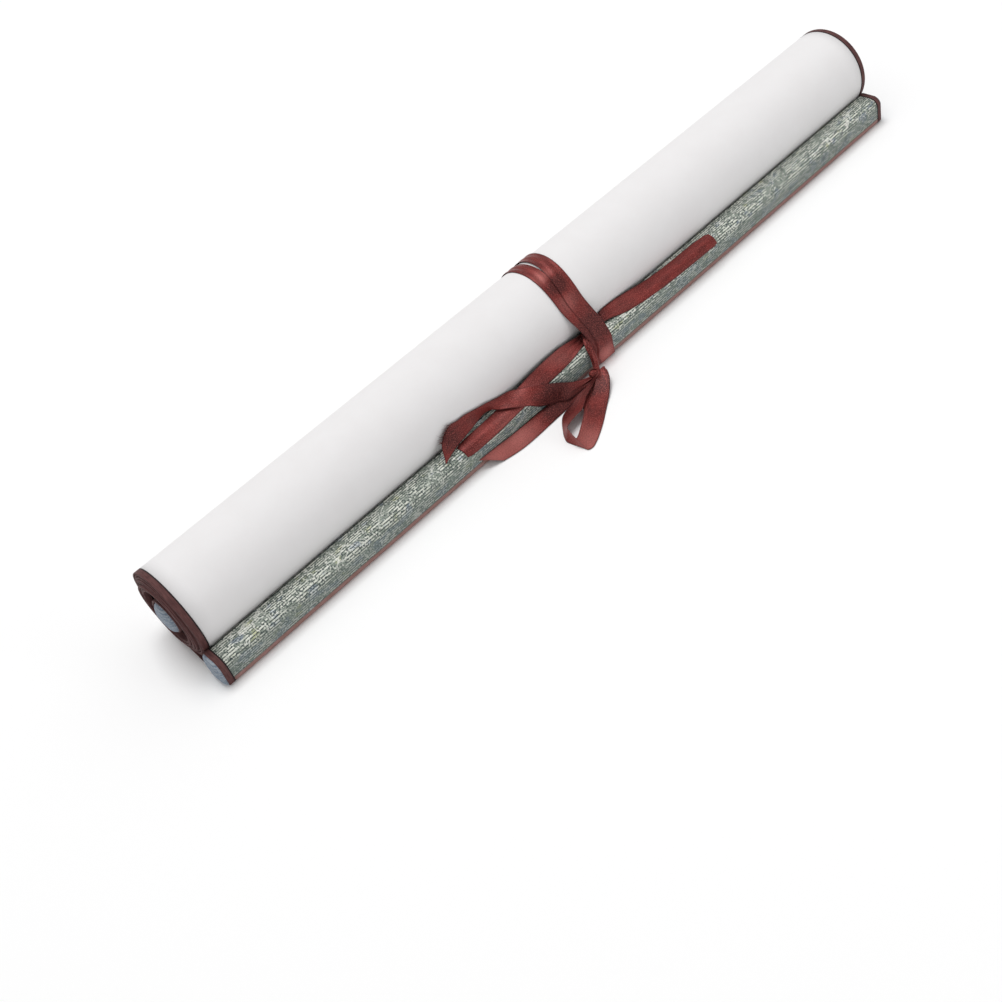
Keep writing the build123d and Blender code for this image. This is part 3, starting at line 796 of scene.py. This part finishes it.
def laid_ribbon(stations):
    """A ribbon laid over the batten. Each station is (x, distance of its middle, width, rise, lift, pleat),
    in millimetres; the ribbon keeps square to its middle line on the unrolled surface. Pleats are a sine
    across it that wanders along it."""
    rows, columns, pleats, swing = 260, 15, 2.1, 12 * MM
    table = metres(stations)
    knots = lengths_along(table[:, :2])
    u = np.linspace(0, knots[-1], rows)
    x, distance, width, _, lift, pleat = smooth(u, knots, table).T
    run = unit(np.stack([np.gradient(x, u), np.gradient(distance, u)], -1))
    v = np.linspace(-0.5, 0.5, columns)
    middle = lengths_along(np.stack([x, distance], -1))[:, None]
    grid_x = x[:, None] - run[:, 1:] * v * width[:, None]
    grid_s = distance[:, None] + run[:, :1] * v * width[:, None]
    order = np.argsort(table[:, 0])
    grid_rise = np.interp(grid_x, table[order, 0], table[order, 3])
    folds = pleat[:, None] * np.sin(v * 2 * math.pi * pleats + middle / swing)
    y, z = laid_point(grid_s, grid_rise, np.maximum(lift[:, None] + folds, RIBBON / 2))
    return together(grid_x, y, z), together(middle, v * RIBBON_WIDTH)


def free_ribbon(first_edge, second_edge, count, crown, gathers):
    """A ribbon between two edges, each a smooth curve through its stations (x, y, z) in millimetres. It
    bows out by crown at its middle, and is pleated by gathers at its start and at its end, where the
    knot holds it, in folds that die away along it."""
    fade, swing = 6.5 * MM, 9 * MM
    first, second = metres(first_edge), metres(second_edge)
    knots = lengths_along((first + second) / 2)
    u = np.linspace(0, knots[-1], count)
    a, b = smooth(u, knots, first), smooth(u, knots, second)
    v = np.linspace(0, 1, 21)
    grid = a[:, None, :] * (1 - v[None, :, None]) + b[:, None, :] * v[None, :, None]
    normal = unit(np.cross(np.gradient(grid, axis=0), np.gradient(grid, axis=1)))
    bow = 4 * v * (1 - v) * crown * MM
    near, far = (np.exp(-(gone / fade) ** 2)[:, None] for gone in (u, knots[-1] - u))
    pleats = (gathers[0] * near + gathers[1] * far) * MM * np.sin(v * 15.0 + u[:, None] / swing)
    grid = grid + normal * (bow + pleats * np.sin(math.pi * v) ** 0.5)[..., None]
    return grid, together(lengths_along((a + b) / 2)[:, None], (v - 0.5) * RIBBON_WIDTH)


# The taut turns: how far they stand off the batten's front, how high their middle runs over the floor and
# the longest step along them
OFF_FRONT = 0.35 * MM
OFF_FLOOR = 0.16 * MM
TURN_STEP = 0.8 * MM


def tie_outline(lift):
    """A taut closed outline round batten and roll, as lines and arcs: forward along the floor, round the
    foot, up the front, round the corner, straight to the roll and over it to the floor again. The straight
    touches both circles, so it is as far round from the line between their middles as the difference of
    their radii asks."""
    hub = np.array([0.0, FRONT_HUB])
    corner = np.array([CORNER_Y, CORNER_Z])
    gap = corner - hub
    reach, corner_reach = FRONT_RADIUS + lift, CORNER + lift + OFF_FRONT
    swing = math.acos((reach - corner_reach) / np.linalg.norm(gap))
    angle = (math.atan2(gap[1], gap[0]) - swing) % (2 * math.pi)
    normal = np.array([math.cos(angle), math.sin(angle)])
    low, foot = OFF_FLOOR, FOOT + lift
    front = BATTEN_FRONT - lift - OFF_FRONT
    rear = ROLL_RADIUS + lift
    bottom_turn = math.acos(np.clip((REAR_HUB - low) / rear, -1, 1))
    return [
        ((0.0, low), (front + foot, low)),
        ((front + foot, low + foot), foot, -math.pi / 2, -math.pi / 2),
        ((front, low + foot), (front, corner[1])),
        (corner, corner_reach, math.pi, angle - math.pi),
        (tuple(corner + normal * corner_reach), tuple(hub + normal * reach)),
        (hub, reach, angle, math.pi / 2 - angle),
        ((0.0, REAR_HUB), rear, math.pi / 2, -math.pi / 2),
        ((0.0, REAR_HUB), rear, 0.0, -math.pi / 2 + bottom_turn),
    ]


def tie_turn(centres, widths, lift_mm, phase):
    """One turn of the tie ribbon: the taut outline carried as a band. Its middle along X and its width run
    smoothly through the values given for the start of each piece of the outline, in millimetres. Above
    the floor it lies in pleats, a sine across it that wanders, deeper where the band is narrow."""
    columns, pleat_depth, slack_depth = 21, 0.15 * MM, 1.1 * MM
    pieces = tie_outline(lift_mm * MM)
    points, normals = trace(pieces, TURN_STEP)
    starts = [len(trace(pieces[:i], TURN_STEP)[0]) if i else 0 for i in range(len(pieces))]
    distance = lengths_along(points)
    total = distance[-1] + np.linalg.norm(points[0] - points[-1])
    knots = np.append(distance[starts], total)
    x, width = (smooth(distance, knots, np.append(row, row[0])) * MM for row in (centres, widths))
    v = np.linspace(-0.5, 0.5, columns)
    cycle = distance / total * 2 * math.pi
    above_floor = np.clip((points[:, 1] - 1.5 * MM) / (8 * MM), 0, 1)
    slack = np.clip(1 - width / RIBBON_WIDTH, 0, 1)
    pleat = above_floor * (pleat_depth * (1 + 0.6 * np.sin(cycle * 5 + phase)) + slack_depth * slack)
    folds = pleat[:, None] * (1 + np.sin(v * 12.0 + phase + 1.5 * np.sin(cycle * 3)[:, None])) / 2
    section = points[:, None, :] + normals[:, None, :] * folds[..., None]
    grid = along_x(x[:, None] + v * width[:, None], section)
    return grid, together(distance[:, None], v * RIBBON_WIDTH), total


def gathered_strand(path, radius_mm):
    """Ribbon drawn together into a cord of folds: a flattened round section whose radius ripples round the
    circumference by two sines, the ripples twisting slowly along the path's smooth curve."""
    count, around, flat = 70, 28, 0.62
    path = metres(path)
    knots = lengths_along(path)
    u = np.linspace(0, knots[-1], count)
    line = smooth(u, knots, path)
    run = unit(np.gradient(line, axis=0))
    side = unit(np.cross(run, np.array([0.0, -1.0, 0.4])))
    up = np.cross(side, run)
    radius = smooth(u, np.linspace(0, knots[-1], len(radius_mm)), metres(radius_mm))[:, None]
    turn = round_circle(around)
    twist = u[:, None] / (5.5 * MM)
    reach = radius * (1 + 0.22 * np.sin(turn * 5 + twist) + 0.10 * np.sin(turn * 9 - twist * 1.7))
    grid = (line[:, None, :] + (reach * np.cos(turn))[..., None] * side[:, None, :]
            + (reach * flat * np.sin(turn))[..., None] * up[:, None, :])
    uv = together(u[:, None], (turn - math.pi) / math.pi * 4.2 * MM)
    return (grid, ring_faces(count, around), uv), knots[-1]


def make_knot(material, centre_mm):
    """The knot: an egg-shaped lump of folds, with a turn of ribbon drawn tight round it. Both are closed
    surfaces of two angles, whose radius ripples where the cloth is pulled into creases. What would reach
    into the floor is laid on it."""
    around, along, half_length, half_girth = 72, 40, 4.5, 2.6
    collar_radius, collar_width, crown = 2.9, 2.3, 0.3
    floor_gap = 0.12 * MM
    turn = round_circle(around)
    tilt = np.linspace(0.02, math.pi - 0.02, along)[:, None]
    creases = 1 + 0.07 * np.sin(turn * 6 + tilt * 3.0) + 0.05 * np.sin(turn * 11 - tilt * 2.0)
    girth = half_girth * creases * np.sin(tilt)
    lump = together(half_length * np.cos(tilt), girth * np.cos(turn), girth * np.sin(turn)) * MM
    lump_uv = together(tilt * 5, (turn - math.pi) * 1.4) * MM
    width = np.linspace(-1, 1, 11)
    angle = round_circle(90)[:, None]
    ridge = 0.22 * np.sin(width * 5.0 + 2.0 * np.sin(angle)) + 0.12 * np.sin(width * 9.0 - angle * 3)
    radius = collar_radius + crown * (1 - width**4) + ridge * (1 - width**2)
    wander = width * (collar_width + 0.4 * np.sin(angle * 2 + 1)) + 0.8 * np.sin(angle)
    collar = together(wander, radius * np.cos(angle), radius * np.sin(angle)) * MM
    collar_shape = thin_sheet(collar, RIBBON, together(angle * 3.5, width * 4.6) * MM, True)
    points, faces, uv = joined((lump, ring_faces(along, around), lump_uv), collar_shape)
    slant = np.asarray(Matrix.Rotation(math.radians(-24), 3, "Z") @ Matrix.Rotation(math.radians(38), 3, "Y"))
    points = points @ slant.T + metres(centre_mm)
    points[:, 2] = np.maximum(points[:, 2], floor_gap)
    return make_piece("tie_knot", (points, faces, uv), material, "tie_ribbon")


def frayed_threads(start, end, outward, count, seed):
    """Loose threads from a cut end between two points: thin four-sided tapers along a curve that adds a
    stray of its own, by the square of the way out, to one direction."""
    rings, sides, thickness = 5, 4, 0.17 * MM
    rng = np.random.default_rng(seed)
    start, end, outward = metres(start), metres(end), metres(outward)
    t = np.linspace(0, 1, rings)[:, None]
    angle = round_circle(sides)
    ring = np.stack([np.zeros(sides), np.cos(angle), np.sin(angle)], -1) * thickness
    shapes = []
    for share in rng.random(count):
        length = rng.uniform(0.35, 1.0)
        stray = rng.normal(0, 0.22, 3) * np.linalg.norm(outward)
        line = start + (end - start) * share + (outward * t + stray * t**2) * length
        grid = line[:, None, :] + ring * (1.05 - t)[..., None]
        uv = np.zeros((rings, sides, 2))
        uv[..., 0] = share * RIBBON_WIDTH
        shapes.append((grid, ring_faces(rings, sides), uv))
    return joined(*shapes)


# The hanging ribbon, from the left slit to the right one
HANGING = [
    (-92.4, 2.3, 7.8, 0, -0.5, 0), (-91.2, 2.2, 8.6, 0, 0.1, 0.05), (-88, 2.1, 9.4, 0, 0.35, 0.05),
    (-79, 1.9, 10, 0, 0.3, 0), (-63, 1.3, 10, 0.2, 0.25, 0), (-48, 0.2, 10, 1.6, 0.25, 0),
    (-36, -0.5, 10, 4.4, 0.25, 0), (-24, -1, 10, 5.6, 0.25, 0), (-14, -1.5, 9.4, 4.8, 0.3, 0.1),
    (-6, -1.9, 7.4, 2.6, 0.5, 0.35), (0, -2.4, 5.4, 0.9, 0.6, 0.5), (8, -3.2, 5, 0.8, 0.6, 0.5),
    (14, -3.9, 5.4, 2, 0.6, 0.45), (20, -3.9, 7, 4.2, 0.4, 0.3), (29, -2.4, 9.4, 4.6, 0.25, 0.1),
    (40, -1, 10, 3.2, 0.25, 0), (54, 0.2, 10, 1.2, 0.25, 0), (68, 0.9, 10, 0.2, 0.25, 0),
    (84, 1.3, 10, 0, 0.3, 0), (95, 1.8, 9.2, 0, 0.35, 0.05), (99.2, 2.2, 8.6, 0, 0.1, 0.05),
    (100.4, 2.3, 7.8, 0, -0.5, 0),
]

# The rear tail: out from the knot, over the hanging ribbon and the batten, up against the roll, and
# then away from it again, down to the point of its slanting cut end
REAR_UPPER = [
    (-8.4, -41.4, 4.2), (-14.1, -39.2, 4.6), (-21.7, -37.9, 8), (-27.4, -37.3, 11.9), (-32.5, -36.1, 14.9),
    (-38, -34, 17.4), (-42.7, -30.7, 18.2), (-46.6, -27.8, 18.4), (-50.7, -24.9, 18.7), (-58.4, -24.9, 20.6),
    (-66.3, -25.6, 23.4), (-72.7, -25.6, 24.9), (-79.7, -25.5, 26.7), (-85.4, -25.5, 27.1),
    (-90.3, -25.7, 28.2), (-93.9, -25.9, 26.9), (-98.9, -27.2, 23), (-103.1, -32.2, 16.2),
]
REAR_LOWER = [
    (-9.6, -42.2, 2.6), (-18.5, -41.6, 1.4), (-28.5, -41.5, 2.8), (-32.8, -38.9, 3.3), (-38.2, -37.9, 5.4),
    (-43.7, -36.9, 8), (-48.7, -36.7, 12.5), (-53.3, -35.5, 15), (-57.7, -33.1, 16.7), (-62, -29.6, 17.4),
    (-65.4, -25.8, 17.8), (-69.2, -25, 17.8), (-73.2, -26, 18.2), (-79.8, -27.6, 18.2), (-87.5, -29.4, 18.4),
    (-91.8, -29.8, 17.8), (-96.8, -30.8, 17.2), (-103.3, -32.5, 16.1),
]

# The front tail: leans on the batten's front with its lower edge on the floor
FRONT_UPPER = [
    (-9, -40.8, 2.6), (-16, -38.6, 1.6), (-24, -37, 2.2), (-33, -36.4, 3.6), (-44, -36.2, 4.3),
    (-56, -36.1, 4.5), (-66, -36.1, 4.9), (-76, -36.1, 5.8), (-87.4, -36.2, 6.7),
]
FRONT_LOWER = [
    (-9.4, -42, 1), (-18, -43, 0.5), (-27, -43.6, 0.3), (-36.4, -43.8, 0.3), (-46, -44.1, 0.3),
    (-56, -44.4, 0.3), (-64, -44.2, 0.3), (-71, -43.2, 0.3), (-76.4, -41.9, 0.3),
]

# The loop: out on the floor on its outer edge, turned at the far end, and back leaning on its other edge
LOOP_OUTER = [
    (-5.6, -42.4, 5.4), (-3.6, -43.4, 6.8), (-3.1, -45.4, 6.4), (-4.6, -48.9, 4.8), (-8.2, -52.3, 2.9),
    (-13, -55.9, 1.4), (-17.8, -58.9, 0.6), (-23.6, -62.7, 0.3), (-30.2, -67, 0.3), (-36.1, -70.3, 0.3),
    (-41.3, -72.8, 0.3), (-45.4, -73.9, 0.3), (-47.4, -73.4, 0.3), (-48.2, -70.3, 0.3), (-48.9, -66.2, 0.3),
    (-49.5, -62.4, 0.3), (-49.6, -59.8, 0.3), (-48, -56.6, 0.3), (-44.6, -52.3, 0.4), (-41.2, -48.6, 0.7),
    (-38, -46.3, 1.4), (-34.9, -46.4, 3), (-31.3, -47, 4.4), (-27.2, -46.5, 5.4), (-23.4, -45.8, 5.8),
    (-19.1, -45.6, 5.6), (-14.5, -44.6, 5), (-9.6, -42.8, 4.4),
]
LOOP_INNER = [
    (-7.6, -42.2, 3.6), (-9.6, -41.8, 3.2), (-13, -41.8, 2.6), (-17.6, -43.2, 2.6), (-22.2, -46, 2.9),
    (-26.6, -50.2, 3.6), (-30, -54.2, 4.5), (-32.4, -56.8, 5), (-38.4, -60.9, 5), (-43, -63.8, 5),
    (-46.2, -65.6, 5), (-48, -66.3, 5.2), (-48.6, -66.2, 5.6), (-48.4, -65, 6), (-47.6, -62.5, 6.3),
    (-46.8, -60.3, 6.5), (-46.2, -59, 6.6), (-46, -58.5, 6.6), (-44.9, -57.8, 6.4), (-42.6, -57, 6.2),
    (-39.6, -56.4, 6.2), (-35.5, -55.9, 6.2), (-32.4, -55.8, 6.3), (-28.4, -53.8, 6.4), (-23.9, -51, 6.4),
    (-19.2, -48.8, 5.8), (-14.8, -46.9, 5), (-9.4, -44, 3.6),
]

# The gathered strand from under the band down to the knot
STRAND = [
    (4.4, -25.6, 17), (2.6, -27.6, 17.2), (0.7, -29.9, 17.2), (-1.6, -33.6, 16.6), (-2.8, -36.6, 14),
    (-2.9, -37.6, 10), (-3.2, -38.4, 6.4), (-4.8, -40.4, 4.2),
]

# The two turns: the middle along X and the width at the start of each piece of the outline, the lift over
# roll and batten, and the phase of the pleats
TURNS_OF_TIE = [
    ([1.5, 1.0, 1.0, 1.4, 2.4, -1.2, -1.1, -0.3], [9.4, 7.0, 4.6, 4.2, 5.4, 8.6, 8.0, 8.0], 0.16, 0.4),
    ([8.8, 8.0, 7.4, 7.4, 8.0, 5.2, 7.7, 8.7], [9.6, 10.4, 11.2, 11.2, 10.8, 10.2, 8.4, 8.6], 0.52, 2.2),
]


def make_hanging_ribbon(material):
    """The hanging ribbon, laid over the batten and the roll."""
    grid, uv = laid_ribbon(HANGING)
    shape = thin_sheet(grid, RIBBON, uv)
    piece = make_piece("hanging_ribbon_satin", shape, material, "hanging_ribbon")


def make_tie_ribbon(material):
    """Two turns, the gathered strand, the loop and two tails as one ribbon, with the knot on it."""
    shapes, length = [], 0.0
    for turn in TURNS_OF_TIE:
        grid, uv, total = tie_turn(*turn)
        shapes.append(thin_sheet(grid, RIBBON, uv, True))
        length += total
    strand, strand_length = gathered_strand(STRAND, [1.4, 1.9, 1.9, 1.8, 1.7, 1.6, 1.5])
    shapes.append(strand)
    for first, second, count, crown, gathers in (
        (REAR_UPPER, REAR_LOWER, 240, 0.3, (0.55, 0.0)),
        (FRONT_UPPER, FRONT_LOWER, 110, 0.5, (0.4, 0.0)),
        (LOOP_OUTER, LOOP_INNER, 260, 0.3, (0.3, 0.5)),
    ):
        grid, uv = free_ribbon(first, second, count, crown, gathers)
        shapes.append(thin_sheet(grid, RIBBON, uv))
        length += uv[-1, 0, 0]
    shapes.append(frayed_threads(REAR_UPPER[-4], REAR_UPPER[-2], (-3.0, 0.3, 2.4), count=36, seed=3))
    piece = make_piece("tie_ribbon_satin", joined(*shapes), material, "tie_ribbon")
    knot = make_knot(material, (-7.0, -41.7, 3.0))
    flat = (RIBBON_WIDTH, float(length + strand_length))


def make_camera():
    """The camera at the photograph's viewing angle, rolled about its own axis."""
    place = Vector((-338.94, -459.90, 468.26)) * MM
    azimuth, elevation, roll = (math.radians(a) for a in (-31.18, 45.05, -18.45))
    back = Vector((math.sin(azimuth) * math.cos(elevation), -math.cos(azimuth) * math.cos(elevation),
                   math.sin(elevation)))
    level = Vector((math.cos(azimuth), math.sin(azimuth), 0))
    upright = back.cross(level)
    right = level * math.cos(roll) + upright * math.sin(roll)
    up = upright * math.cos(roll) - level * math.sin(roll)
    camera = bpy.data.objects.new("camera", bpy.data.cameras.new("camera"))
    camera.data.sensor_width = 36.0
    camera.data.lens = 48.88
    camera.data.clip_start, camera.data.clip_end = 0.01, 20.0
    camera.matrix_world = Matrix.Translation(place) @ Matrix((right, up, back)).transposed().to_4x4()
    bpy.context.scene.collection.objects.link(camera)
    bpy.context.scene.camera = camera


def make_light(name, place, size, power):
    """A square soft light that faces the scroll."""
    lamp = bpy.data.lights.new(name, "AREA")
    lamp.size, lamp.energy = size, power
    light = bpy.data.objects.new(name, lamp)
    light.location = place
    light.rotation_mode = "QUATERNION"
    light.rotation_quaternion = Vector(place).to_track_quat("Z", "Y")
    bpy.context.scene.collection.objects.link(light)


def make_studio():
    """A pale floor, an even pale surround and soft lights."""
    size = 6.0
    mesh = bpy.data.meshes.new("floor")
    corners = [(x * size, y * size, -0.05 * MM) for x, y in ((-1, -1), (1, -1), (1, 1), (-1, 1))]
    mesh.from_pydata(corners, [], [(0, 1, 2, 3)])
    floor = bpy.data.objects.new("floor", mesh)
    mesh.materials.append(floor_finish())
    bpy.context.scene.collection.objects.link(floor)
    world = bpy.data.worlds.new("studio")
    world.use_nodes = True
    background = world.node_tree.nodes["Background"]
    background.inputs["Color"].default_value = (1.0, 1.0, 1.0, 1.0)
    background.inputs["Strength"].default_value = 0.56
    bpy.context.scene.world = world
    bpy.context.scene.view_settings.view_transform = "Standard"
    make_light("overhead", (0.08, 0.55, 2.53), 1.3, 37.0)
    make_light("front", (0.42, -1.0, 0.38), 0.35, 1.0)


make_camera()
make_studio()
paper = paper_finish()
brocade = brocade_finish("brocade", SHADED_CREVICE / MM)
cover_cloth = brocade_finish("end_brocade", turned=True, cool=0.5)
binding = binding_finish("edge_binding_cloth", (0.075, 0.028, 0.028, 1), (0.155, 0.066, 0.062, 1),
                         BINDING_WIDTH / MM)
head_cloth = binding_finish("head_binding_cloth", (0.275, 0.155, 0.13, 1), (0.385, 0.215, 0.205, 1))
satin = satin_finish()
wood = wood_finish()

make_sheet(paper, brocade)
for side in (-1, 1):
    make_edge_binding(side, binding)
make_head_binding(head_cloth)
make_covers(cover_cloth)
for node in ("top_batten", "bottom_rod"):
    frame["nodes"][node].data.materials.clear()
    frame["nodes"][node].data.materials.append(wood)
make_hanging_ribbon(satin)
make_tie_ribbon(satin)
